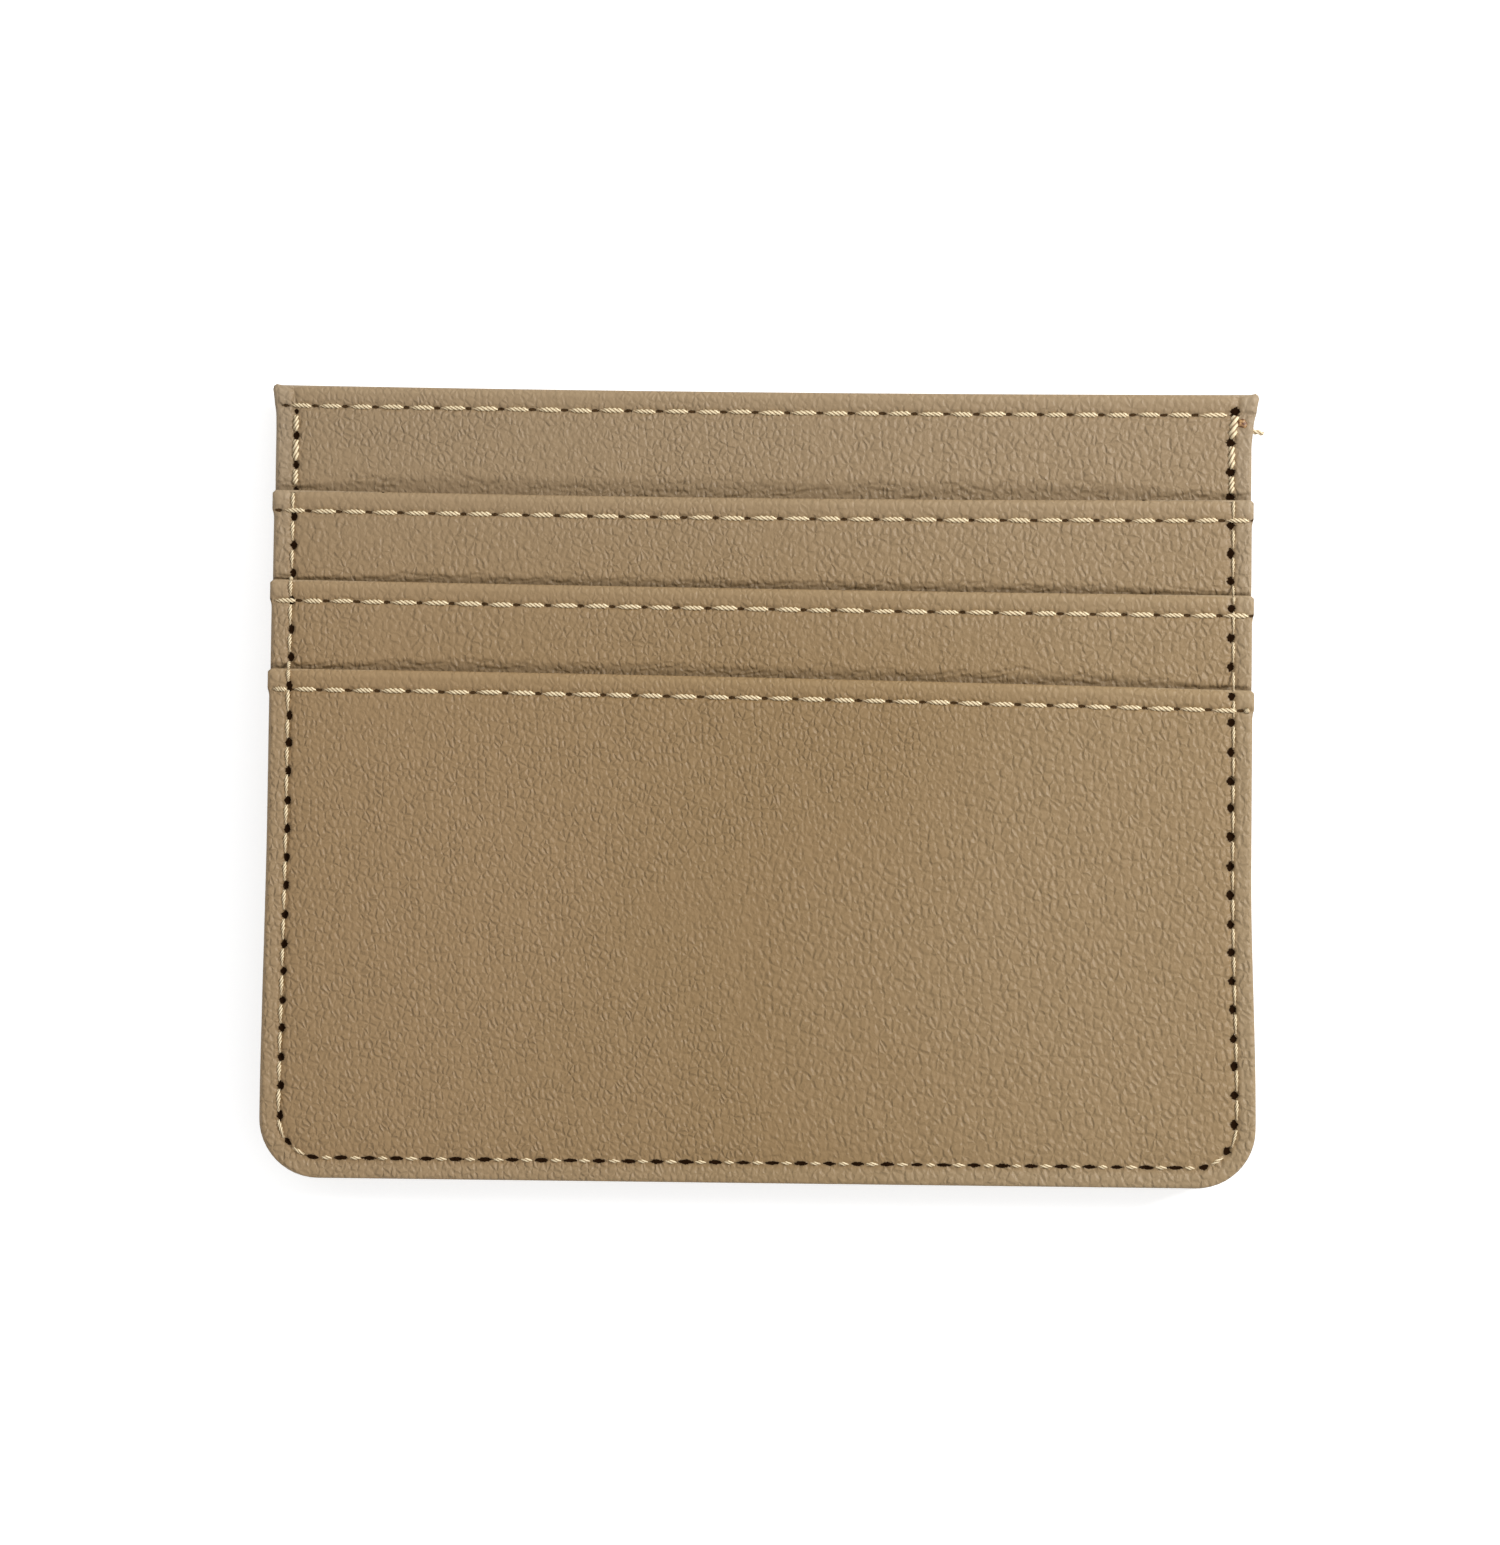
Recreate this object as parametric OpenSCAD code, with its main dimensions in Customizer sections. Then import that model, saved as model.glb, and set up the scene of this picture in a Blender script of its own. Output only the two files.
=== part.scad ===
// Flat sewn card holder: two mirrored halves, each a backed panel that carries three stepped card
// pockets, joined round three sides so that a centre pocket opens at the mouth.
// X is the width, Y runs from the bottom edge to the mouth, Z is the thickness.
// It lies on the rear lower pocket, and the origin is the middle of its box on that plane.

/* [Holder] */
// Width from side edge to side edge
body_w = 100; // [96:0.5:116]
// Height from the bottom edge to the mouth
body_h = 80.3; // [79:0.1:88]
// Radius of the two bottom corners
corner_r = 6; // [4:0.5:9]

/* [Pockets] */
// From the mouth down to the folded edge of the upper pocket
first_step = 11; // [9:0.1:12]
// From one folded pocket edge down to the next
pocket_step = 9.3; // [8:0.1:10]
// Depth of the edge that is turned in behind a pocket's face
turned_depth = 8; // [6:0.5:9]
// Depth of the edge that is turned in at the mouth
mouth_turned_depth = 9; // [6:0.5:12]
// Free play between two walls of an empty slot
slot_gap = 0.05; // [0.02:0.01:0.15]

/* [Layers] */
// Thickness of the face leather
leather_t = 0.5; // [0.5:0.05:0.8]
// Thickness of the pocket linings, to which the turned pocket edges are skived
pocket_lining_t = 0.2; // [0.15:0.05:0.3]
// Thickness of the backing board, to which the turned mouth edge is skived
board_t = 0.25; // [0.2:0.05:0.6]
// Thickness of the lining of the centre pocket
centre_lining_t = 0.15; // [0.1:0.05:0.3]
// From the mouth down to the top edge of the centre pocket's lining
lining_drop = 0.9; // [0.5:0.1:1.2]
// Gap between the backing board and the turned mouth edge
board_clear = 0.5; // [0.1:0.1:1]
// Gap between a pocket lining and the turned pocket edge
lining_clear = 0.3; // [0.1:0.1:1]
// From the side and bottom edges in to the trimmed edges of linings and boards
inner_trim = 0.9; // [0:0.1:1]

/* [Perimeter seam] */
// From the side and bottom edges in to the seam line
seam_inset = 2.1; // [1.5:0.1:3]
// From the mouth down to the seam's first needle hole
seam_start = 2.7; // [2:0.1:4]
// Nominal length of one seam stitch
seam_pitch = 2.9; // [2.2:0.1:3.5]
// Thickness of the seam thread
seam_thread_d = 0.3; // [0.2:0.02:0.36]
// Number of seam stitches that are sewn double at each end
tack_stitches = 2; // [0:1:3]
// Thickness of the doubled thread in those stitches
tack_thread_d = 0.36; // [0.3:0.02:0.4]

/* [Edge stitching] */
// From a folded edge down to its row of stitches
row_drop = 2.1; // [1.5:0.1:3]
// Nominal length of one row stitch
row_pitch = 3.2; // [2.4:0.1:4]
// Thickness of the row thread
row_thread_d = 0.36; // [0.24:0.02:0.4]
// Distance that the rows stay inside the side seams
row_clear = 1.6; // [1:0.1:3]

/* [Slots] */
// From a folded pocket edge down to the stitches that the card stands on
slot_depth = 48.6; // [46:0.1:52]

/* [Hidden] */
$fn = 24;

leather_colour = "#9a7f5f";
board_colour = "#4a4038";
lining_colour = "#1f1b19";
thread_colour = "#d9c9a6";

// The strand lies this far under the surface and clear of its groove
sink = 0.03;
// A needle hole and the strand that fills it are this much thicker than the strand on top
leg_extra = 0.08;
// Added to a cut so that it passes the face it opens
over = 0.5;

// Heights above the bottom edge of the folded pocket edges: upper, middle, lower
edge_y = [for (k = [0:2]) body_h - first_step - k * pocket_step];
// Heights of the stitches that the cards in the upper and middle slots stand on
base_y = [for (k = [0:1]) edge_y[k] - slot_depth];

// Levels in one half, counted outwards from the plane between the halves
board_z = slot_gap / 2 + centre_lining_t;
panel_z = board_z + board_t;
panel_top = panel_z + leather_t;
pocket_level = slot_gap + pocket_lining_t + leather_t;
function pocket_z(k) = panel_top + k * pocket_level + slot_gap;
function pocket_top(k) = panel_top + (k + 1) * pocket_level;
half_t = pocket_top(2);

// Height of the outer surface at height y
function outer_level(y) =
    y > edge_y[0] ? panel_top : y > edge_y[1] ? pocket_top(0) : y > edge_y[2] ? pocket_top(1) : half_t;

// ---- needle holes ----

seam_x = body_w / 2 - seam_inset;
seam_r = corner_r - seam_inset;
corner_x = body_w / 2 - corner_r;
corner_steps = 2;

function between(a, b, t) = a + (b - a) * t;
function spaced(a, b, pitch) =
    let (n = max(1, round(norm(b - a) / pitch))) [for (i = [0:n]) between(a, b, i / n)];

// The side seam is divided so that each folded edge falls in the middle of a stitch
side_stops = [
    [body_h - seam_start, edge_y[0] + seam_pitch / 2],
    [edge_y[0] - seam_pitch / 2, edge_y[1] + seam_pitch / 2],
    [edge_y[1] - seam_pitch / 2, edge_y[2] + seam_pitch / 2],
    [edge_y[2] - seam_pitch / 2, corner_r]
];
left_side = [
    for (s = side_stops) each spaced([-seam_x, s[0]], [-seam_x, s[1]], seam_pitch)
];
left_corner = [
    for (i = [1:corner_steps])
        let (a = 180 + 90 * i / corner_steps)
        [-corner_x + seam_r * cos(a), corner_r + seam_r * sin(a)]
];
bottom_run = spaced([-corner_x, seam_inset], [0, seam_inset], seam_pitch);
left_half = concat(left_side, left_corner, [for (i = [1:len(bottom_run) - 1]) bottom_run[i]]);
last = len(left_half) - 1;
seam_holes = concat(left_half, [for (i = [1:last]) [-left_half[last - i].x, left_half[last - i].y]]);

row_end = seam_x - row_clear;
function row_holes(y) = spaced([-row_end, y], [row_end, y], row_pitch);
mouth_holes = row_holes(body_h - row_drop);
function edge_holes(k) = row_holes(edge_y[k] - row_drop);
function base_holes(k) = row_holes(base_y[k]);

// Cuts needle holes for a thread of diameter d through everything that they meet
module needle_holes(points, d) {
    for (p = points)
        translate([p.x, p.y, -over])
            cylinder(h = half_t + 2 * over, d = d + leg_extra);
}

// Open channel of depth d in the surface at height z, in which a strand lies from a to b
module channel(a, b, z, d) {
    w = d + 2 * sink;
    translate([a.x, a.y, z - d - sink])
        rotate(atan2(b.y - a.y, b.x - a.x))
            translate([-w / 2, -w / 2, 0])
                cube([norm(b - a) + w, w, d + sink + over]);
}

// Channel under a straight row of stitches
module row_channel(points, z, d) {
    channel(points[0], points[len(points) - 1], z, d);
}

// Channels of the two side seams between heights y0 and y1
module side_channels(y0, y1, z, d) {
    for (side = [-1, 1])
        channel([side * seam_x, y0], [side * seam_x, y1], z, d);
}

// ---- flat pieces ----

// Outline of a piece that reaches up to height top, trimmed in at the sides and the bottom
module outline(top, trim = 0) {
    translate([trim - body_w / 2, corner_r])
        square([body_w - 2 * trim, top - corner_r]);
    translate([-corner_x, trim])
        square([2 * corner_x, corner_r - trim]);
    for (side = [-1, 1])
        translate([side * corner_x, corner_r])
            circle(r = corner_r - trim, $fn = 64);
}

// Face leather from z up, whose top edge is turned in over a depth and skived to turn_t
module turned_leather(top, z, turn_t, depth) {
    fold_r = (leather_t + turn_t) / 2;
    translate([0, 0, z + turn_t])
        linear_extrude(leather_t)
            outline(top - fold_r);
    translate([-body_w / 2, top - depth, z])
        cube([body_w, depth - fold_r, turn_t]);
    translate([-body_w / 2, top - fold_r, z + fold_r])
        rotate([0, 90, 0])
            cylinder(h = body_w, r = fold_r);
}

module panel() {
    color(leather_colour)
        difference() {
            turned_leather(body_h, board_z, board_t, mouth_turned_depth);
            needle_holes(seam_holes, tack_thread_d);
            needle_holes(mouth_holes, row_thread_d);
            needle_holes(base_holes(0), row_thread_d);
            needle_holes(base_holes(1), row_thread_d);
            row_channel(mouth_holes, panel_top, row_thread_d);
            side_channels(edge_y[0], body_h - seam_start, panel_top, tack_thread_d);
        }
}

module board() {
    color(board_colour)
        translate([0, 0, board_z])
            linear_extrude(board_t)
                difference() {
                    outline(body_h - mouth_turned_depth - board_clear, inner_trim);
                    hole_shapes(seam_holes, tack_thread_d);
                }
}

module centre_lining() {
    color(lining_colour)
        translate([0, 0, slot_gap / 2])
            linear_extrude(centre_lining_t)
                difference() {
                    outline(body_h - lining_drop, inner_trim);
                    hole_shapes(seam_holes, tack_thread_d);
                    hole_shapes(mouth_holes, row_thread_d);
                }
}

// Flat shapes of the needle holes for a thread of diameter d
module hole_shapes(points, d) {
    for (p = points)
        translate(p)
            circle(d = d + leg_extra);
}

// Leather of pocket k: 0 upper, 1 middle, 2 lower
module pocket(k) {
    color(leather_colour)
        difference() {
            turned_leather(edge_y[k], pocket_z(k), pocket_lining_t, turned_depth);
            needle_holes([for (p = seam_holes) if (p.y < edge_y[k]) p], tack_thread_d);
            needle_holes(edge_holes(k), row_thread_d);
            row_channel(edge_holes(k), pocket_top(k), row_thread_d);
            if (k < 2) {
                needle_holes(base_holes(0), row_thread_d);
                needle_holes(base_holes(1), row_thread_d);
                row_channel(base_holes(k), pocket_top(k), row_thread_d);
                side_channels(edge_y[k + 1], edge_y[k] + over, pocket_top(k), tack_thread_d);
            } else {
                side_channels(corner_r, edge_y[k] + over, half_t, tack_thread_d);
                corner_channels();
            }
        }
}

// Channels of the seam round the bottom of the lower pocket
module corner_channels() {
    corner = concat([[-seam_x, corner_r]], left_corner);
    for (side = [0, 1])
        mirror([side, 0])
            for (i = [1:corner_steps])
                channel(corner[i - 1], corner[i], half_t, tack_thread_d);
    channel([-corner_x, seam_inset], [corner_x, seam_inset], half_t, tack_thread_d);
}

// Fabric that backs pocket k below its turned edge
module pocket_lining(k) {
    color(lining_colour)
        translate([0, 0, pocket_z(k)])
            linear_extrude(pocket_lining_t)
                difference() {
                    outline(edge_y[k] - turned_depth - lining_clear, inner_trim);
                    hole_shapes(seam_holes, tack_thread_d);
                    if (k == 0)
                        hole_shapes(base_holes(0), row_thread_d);
                    if (k < 2)
                        hole_shapes(base_holes(1), row_thread_d);
                }
}

// ---- threads ----

// Straight strand of thread between two points
module strand(a, b, d) {
    v = b - a;
    translate(a)
        rotate([0, acos(v.z / norm(v)), atan2(v.y, v.x)])
            cylinder(h = norm(v), d = d);
}

// Strand that goes down a needle hole at p from the surface z to the level deep
module leg(p, z, deep, d) {
    translate([p.x, p.y, deep])
        cylinder(h = z - deep, d = d + leg_extra);
}

// Straight row of stitches on the surface z, locked at the level deep
module row_thread(points, z, deep) {
    lie = z - sink - row_thread_d / 2;
    color(thread_colour) {
        strand([points[0].x, points[0].y, lie], [-points[0].x, points[0].y, lie], row_thread_d);
        for (p = points)
            leg(p, z, deep, row_thread_d);
    }
}

// One stitch of the perimeter seam, which climbs over a folded edge where it meets one
module seam_stitch(p, q, d) {
    zp = outer_level(p.y) - sink - d / 2;
    zq = outer_level(q.y) - sink - d / 2;
    if (zp == zq) {
        strand([p.x, p.y, zp], [q.x, q.y, zq], d);
    } else {
        fold_y = min(p.y, q.y) + seam_pitch / 2 + d / 2 + 2 * sink;
        top = [p.x, fold_y, max(zp, zq)];
        strand([p.x, p.y, zp], top, d);
        strand(top, [q.x, q.y, zq], d);
        translate(top)
            sphere(d = d + 2 * sink);
    }
}

// Half of the perimeter seam, from its outer surface to the lock between the halves
module seam_thread() {
    n = len(seam_holes) - 1;
    color(thread_colour) {
        for (i = [1:n]) {
            tacked = i <= tack_stitches || i > n - tack_stitches;
            seam_stitch(seam_holes[i - 1], seam_holes[i], tacked ? tack_thread_d : seam_thread_d);
        }
        for (p = seam_holes)
            leg(p, outer_level(p.y), 0, tack_thread_d);
    }
}

// ---- placing ----

// Front half: its outer side is up
module front() {
    translate([0, -body_h / 2, half_t])
        children();
}

// Rear half: the same pieces turned over
module rear() {
    translate([0, -body_h / 2, half_t])
        mirror([0, 0, 1])
            children();
}

module mouth_thread() row_thread(mouth_holes, panel_top, slot_gap / 2);
module pocket_thread(k) row_thread(edge_holes(k), pocket_top(k), pocket_z(k));
module base_thread(k) row_thread(base_holes(k), pocket_top(k), panel_z);

module front_panel() front() panel();
module front_board() front() board();
module front_lining() front() centre_lining();
module front_upper_pocket() front() pocket(0);
module front_upper_lining() front() pocket_lining(0);
module front_middle_pocket() front() pocket(1);
module front_middle_lining() front() pocket_lining(1);
module front_lower_pocket() front() pocket(2);
module front_lower_lining() front() pocket_lining(2);
module front_mouth_thread() front() mouth_thread();
module front_upper_thread() front() pocket_thread(0);
module front_middle_thread() front() pocket_thread(1);
module front_lower_thread() front() pocket_thread(2);
module front_upper_base_thread() front() base_thread(0);
module front_middle_base_thread() front() base_thread(1);
module rear_panel() rear() panel();
module rear_board() rear() board();
module rear_lining() rear() centre_lining();
module rear_upper_pocket() rear() pocket(0);
module rear_upper_lining() rear() pocket_lining(0);
module rear_middle_pocket() rear() pocket(1);
module rear_middle_lining() rear() pocket_lining(1);
module rear_lower_pocket() rear() pocket(2);
module rear_lower_lining() rear() pocket_lining(2);
module rear_mouth_thread() rear() mouth_thread();
module rear_upper_thread() rear() pocket_thread(0);
module rear_middle_thread() rear() pocket_thread(1);
module rear_lower_thread() rear() pocket_thread(2);
module rear_upper_base_thread() rear() base_thread(0);
module rear_middle_base_thread() rear() base_thread(1);
module seam_needle_thread() front() seam_thread();
module seam_bobbin_thread() rear() seam_thread();

front_panel();
front_board();
front_lining();
front_upper_pocket();
front_upper_lining();
front_middle_pocket();
front_middle_lining();
front_lower_pocket();
front_lower_lining();
front_mouth_thread();
front_upper_thread();
front_middle_thread();
front_lower_thread();
front_upper_base_thread();
front_middle_base_thread();
rear_panel();
rear_board();
rear_lining();
rear_upper_pocket();
rear_upper_lining();
rear_middle_pocket();
rear_middle_lining();
rear_lower_pocket();
rear_lower_lining();
rear_mouth_thread();
rear_upper_thread();
rear_middle_thread();
rear_lower_thread();
rear_upper_base_thread();
rear_middle_base_thread();
seam_needle_thread();
seam_bobbin_thread();
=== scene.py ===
"""Looks of a flat sewn card holder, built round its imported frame.

The eight leather pieces are folded sheets with stitch troughs, needle pits and tucks. The threads are
twisted stitches laid by geometry nodes, and every layer gets a procedural material.
"""

import functools
import math

import bpy
import numpy as np
from bpy.props import FloatProperty, FloatVectorProperty, PointerProperty
from bpy.types import Operator, Panel, PropertyGroup
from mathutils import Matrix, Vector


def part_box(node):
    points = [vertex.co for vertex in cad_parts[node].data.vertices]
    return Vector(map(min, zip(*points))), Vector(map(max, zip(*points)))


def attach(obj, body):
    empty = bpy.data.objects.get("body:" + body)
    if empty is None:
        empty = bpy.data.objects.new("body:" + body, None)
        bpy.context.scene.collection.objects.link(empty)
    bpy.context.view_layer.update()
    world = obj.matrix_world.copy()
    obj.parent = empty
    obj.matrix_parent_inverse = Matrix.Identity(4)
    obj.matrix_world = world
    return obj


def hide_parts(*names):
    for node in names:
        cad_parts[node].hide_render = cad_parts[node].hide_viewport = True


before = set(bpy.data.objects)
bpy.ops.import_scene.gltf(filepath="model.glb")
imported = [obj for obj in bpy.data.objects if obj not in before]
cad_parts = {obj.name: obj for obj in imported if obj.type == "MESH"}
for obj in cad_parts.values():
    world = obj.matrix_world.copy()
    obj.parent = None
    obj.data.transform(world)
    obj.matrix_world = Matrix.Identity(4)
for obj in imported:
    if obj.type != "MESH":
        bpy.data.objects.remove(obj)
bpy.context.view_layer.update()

bl_info = {
    "name": "Card holder looks",
    "version": (1, 0, 0),
    "blender": (4, 5, 0),
    "location": "View3D > Sidebar > Card holder",
    "description": "Builds the leather, linings, threads and stage of a sewn card holder",
    "category": "Object",
}

MM = 0.001
BODY = "root"
SIDES = ("front", "rear")
# Which way each side faces along Z
OUTWARD = {"front": 1, "rear": -1}
LEVELS = ("panel", "upper_pocket", "middle_pocket", "lower_pocket")


# ---- properties ----


def length(name, description, default):
    """One length in metres, or a few"""
    kind = FloatVectorProperty if isinstance(default, tuple) else FloatProperty
    return kind(name=name, description=description, default=default, unit="LENGTH")


def edge_line(name, edge, *sag):
    """How far a folded edge lies below its straight line"""
    return length(name, f"How far the {edge} lies lower at its left, middle and right", sag)


def colour(name, description, *rgb):
    return FloatVectorProperty(name=name, description=description, default=(*rgb, 1), size=4, subtype="COLOR")


def lift(name, description, *rgb):
    """How much lighter a part of the leather is in red, green and blue"""
    return FloatVectorProperty(name=name, description=description, default=rgb)


class HolderSizes(PropertyGroup):
    """Sizes of the holder's looks, in metres"""

    leather: length("Leather", "Thickness of the face leather", 0.0005)
    skived: length("Skived leather", "Thickness of the leather where it is folded over", 0.00034)
    corner: length("Corner radius", "Radius of the bottom corners", 0.006)
    edge_round: length("Edge rounding", "Rounding of the leather at its cut edges", 0.0003)
    turned: length("Turned edge", "Depth of a turned edge behind its fold", 0.008)
    seam_inset: length("Seam inset", "From the side and bottom edges in to the seam", 0.00205)
    seam_start_left: length("Left seam start", "From the mouth to the left seam's first needle hole", 0.0027)
    seam_start_right: length("Right seam start", "From the mouth to the right seam's last hole", 0.00168)
    tack_left: length("Left tack", "Lengths of the left end's doubled stitches", (0.00245, 0.00305, 0.00246))
    tack_right: length("Right tack", "Lengths of the right end's doubled stitches", (0.0032, 0.003, 0.00256))
    seam_pitch: length("Seam stitch", "Length of one seam stitch", 0.0029)
    row_drop: length("Row drop", "From a folded edge to its row of stitches", 0.0021)
    row_pitch: length("Row stitch", "Length of one row stitch", 0.00324)
    row_pitch_start: length("First row stitches", "Length of the first few stitches of a row", 0.00286)
    row_thread: length("Row thread", "Thickness of the row thread", 0.00046)
    seam_thread: length("Seam thread", "Thickness of the seam thread", 0.00036)
    tack_thread: length("Tack thread", "Thickness of the doubled thread at the seam's ends", 0.00052)
    grid: length("Leather grid", "Spacing of the leather's faces", 0.0003)


class HolderShape(PropertyGroup):
    """How the sewn holder departs from its straight pattern, in metres"""

    panel_sag: edge_line("Mouth line", "mouth", 0.0, 0.0002, -0.0001)
    upper_pocket_sag: edge_line("Upper edge line", "upper edge", -0.0002, 0.0001, -0.00026)
    middle_pocket_sag: edge_line("Middle edge line", "middle edge", -0.0003, 0.0001, 0.00024)
    lower_pocket_sag: edge_line("Lower edge line", "lower edge", -0.0005, -0.00013, 0.00062)
    waist_left: length("Left waist", "How far the left side is drawn in", 0.00025)
    waist_right: length("Right waist", "How far the right side is drawn in", 0.0006)
    ear: length("Fold ear", "How far a folded edge stands out sideways", 0.00018)


class HolderColours(PropertyGroup):
    """Colours of the holder"""

    leather: colour("Leather", "Colour of the leather", 0.284, 0.182, 0.083)
    leather_warm: colour("Warm leather", "Colour of the warmer leather on the left", 0.306, 0.197, 0.095)
    leather_grey: colour("Grey leather", "Colour of the greyer leather by the mouth", 0.316, 0.222, 0.127)
    # Painted light: the leather is lighter on the right, nearer the key light
    lit_right_leather: colour("Light leather", "Colour of the lighter leather on the right", 0.306, 0.205, 0.102)
    rim_lift: lift("Rim lift", "How much lighter the rim outside the seam is", 1.08, 1.14, 1.26)
    # Painted highlights: on the smooth, domed hem above each row, and stronger along the rounded fold
    hem_highlight: lift("Hem lift", "How much lighter the leather is above its row", 1.04, 1.045, 1.05)
    fold_highlight: lift("Fold lift", "How much lighter still the leather is along a fold", 1.09, 1.105, 1.12)
    # Painted shade inside the needle holes, which are only shallow pits, together with the black linings seen
    # through them
    row_hole: colour("Row hole", "Colour inside a row's needle slit", 0.05, 0.024, 0.008)
    needle_hole: colour("Needle hole", "Colour inside a seam's needle hole", 0.016, 0.007, 0.003)
    thread: colour("Thread", "Colour of the thread", 1.0, 0.84, 0.55)
    # Duller fibres, and painted shade between the plies and on the sunk ends of the stitches
    thread_dull_and_shade: colour("Thread shade", "Colour between the plies of the thread", 0.22, 0.12, 0.045)
    melted: colour("Melted thread", "Colour of melted thread", 0.46, 0.27, 0.11)
    melted_dark: colour("Scorched thread", "Colour of scorched thread", 0.17, 0.07, 0.03)
    lining: colour("Lining", "Colour of the linings", 0.018, 0.016, 0.015)
    board: colour("Board", "Colour of the backing boards", 0.10, 0.08, 0.065)


class StageSettings(PropertyGroup):
    """Camera and light"""

    camera_place: length("Camera place", "Place of the camera", (0.00145, -0.02239, 0.45334))
    camera_turn: FloatVectorProperty(
        name="Camera turn",
        description="Turn of the camera from looking straight down",
        default=(math.radians(3.007), math.radians(0.296), math.radians(0.688)),
        subtype="EULER",
    )
    camera_lens: FloatProperty(name="Lens", description="Focal length in millimetres", default=106.7)
    key_place: length("Key place", "Place of the key light", (0.45, 0.20, 0.40))
    key_size: length("Key size", "Side of the square key light", 0.22)
    key_power: FloatProperty(name="Key power", description="Power of the light", default=3.2, unit="POWER")
    sky: FloatProperty(name="Sky", description="Strength of the even light", default=0.62)
    floor_size: length("Floor", "Side of the square floor", 1.8)


# ---- the frame's measures, in millimetres ----


@functools.lru_cache(maxsize=None)
def node_box(node):
    low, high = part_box(node)
    return np.array(low) / MM, np.array(high) / MM


PANEL_LOW, PANEL_HIGH = node_box("front_panel")
HALF_W = PANEL_HIGH[0]
BOTTOM_Y = PANEL_LOW[1]
MOUTH = PANEL_HIGH[1] - BOTTOM_Y


class Measures:
    """The properties in millimetres, read once for a build"""

    def __init__(self):
        sizes = bpy.context.scene.card_holder_sizes
        shape = bpy.context.scene.card_holder_shape
        for source in (sizes, shape):
            for key in source.__annotations__:
                value = getattr(source, key)
                if hasattr(value, "__len__"):
                    setattr(self, key, np.array(value) / MM)
                else:
                    setattr(self, key, value / MM)

    def sag(self, level, x, side):
        """How far the folded edge of a level lies below its straight line, at x"""
        left, middle, right = getattr(self, level + "_sag")
        u = OUTWARD[side] * x / HALF_W
        return middle + (right - left) / 2 * u + ((right + left) / 2 - middle) * u * u

    def side_in(self, x, y):
        """How far the holder's side is drawn in beside a point, on the left or on the right"""
        drop = MOUTH - y
        right = self.waist_right * smooth(0, 5, drop) * (1 - smooth(48, 74, drop))
        left = self.waist_left * smooth(0, 4, drop) * (1 - smooth(44, 73, drop))
        return np.where(x > 0, right, left)

    def draw_in(self, x, y):
        """Moves a point of the straight pattern to where it lies in the sewn holder"""
        return x * (1 - self.side_in(x, y) / HALF_W)


def smooth(low, high, value):
    """0 below low, 1 above high, and a smooth rise between"""
    t = np.clip((value - low) / (high - low), 0, 1)
    return t * t * (3 - 2 * t)


def bell(value, width):
    return np.exp(-((value / width) ** 2))


def ripple(x, y, wavelength, seed, stretch=1.0, waves=16):
    """Smooth noise of about unit size: a seeded sum of waves, stretched along y"""
    rng = np.random.default_rng(seed)
    total = np.zeros_like(x)
    for _ in range(waves):
        angle, phase, size = rng.uniform(0, 2 * math.pi), rng.uniform(0, 2 * math.pi), rng.uniform(0.7, 1.5)
        k = 2 * math.pi / (wavelength * size)
        total += np.cos(k * (x * math.cos(angle) + y / stretch * math.sin(angle)) + phase)
    return total / math.sqrt(waves / 2)


# ---- stitch lines ----

# Half the length and half the width of a row's needle pit
ROW_PIT = (0.42, 0.14)
# Places along X of each row's first needle hole
FIRST_ROW_HOLE = {"panel": -48.9, "upper_pocket": -49.4, "middle_pocket": -50.3, "lower_pocket": -50.8}
# Half lengths and half widths of the needle holes at the seam's two ends
LEFT_TACK_HOLES = ((0.3, 0.48, 0.48, 0.34), (0.24, 0.36, 0.36, 0.26))
RIGHT_TACK_HOLES = (0.52, 0.5)


def edge_height(level):
    """Height of a level's folded edge above the bottom edge, in the straight pattern"""
    return node_box("front_" + level)[1][1] - BOTTOM_Y


def outer_z(side, level):
    """Z of the outer surface of a leather piece"""
    low, high = node_box(f"{side}_{level}")
    return high[2] if side == "front" else low[2]


def row_holes(m, level):
    """Places along X of the needle holes in a level's row of edge stitching"""
    rng = np.random.default_rng(11 + LEVELS.index(level))
    end = HALF_W - 6 if level == "panel" else HALF_W + 1
    holes = [FIRST_ROW_HOLE[level]]
    while holes[-1] < end:
        eased = min(1, len(holes) / 6)
        pitch = m.row_pitch_start + (m.row_pitch - m.row_pitch_start) * eased
        holes.append(holes[-1] + pitch + rng.normal(0, 0.07))
    if level == "panel":
        holes[-1] = HALF_W - 2.2
    return np.array(holes)


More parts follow.
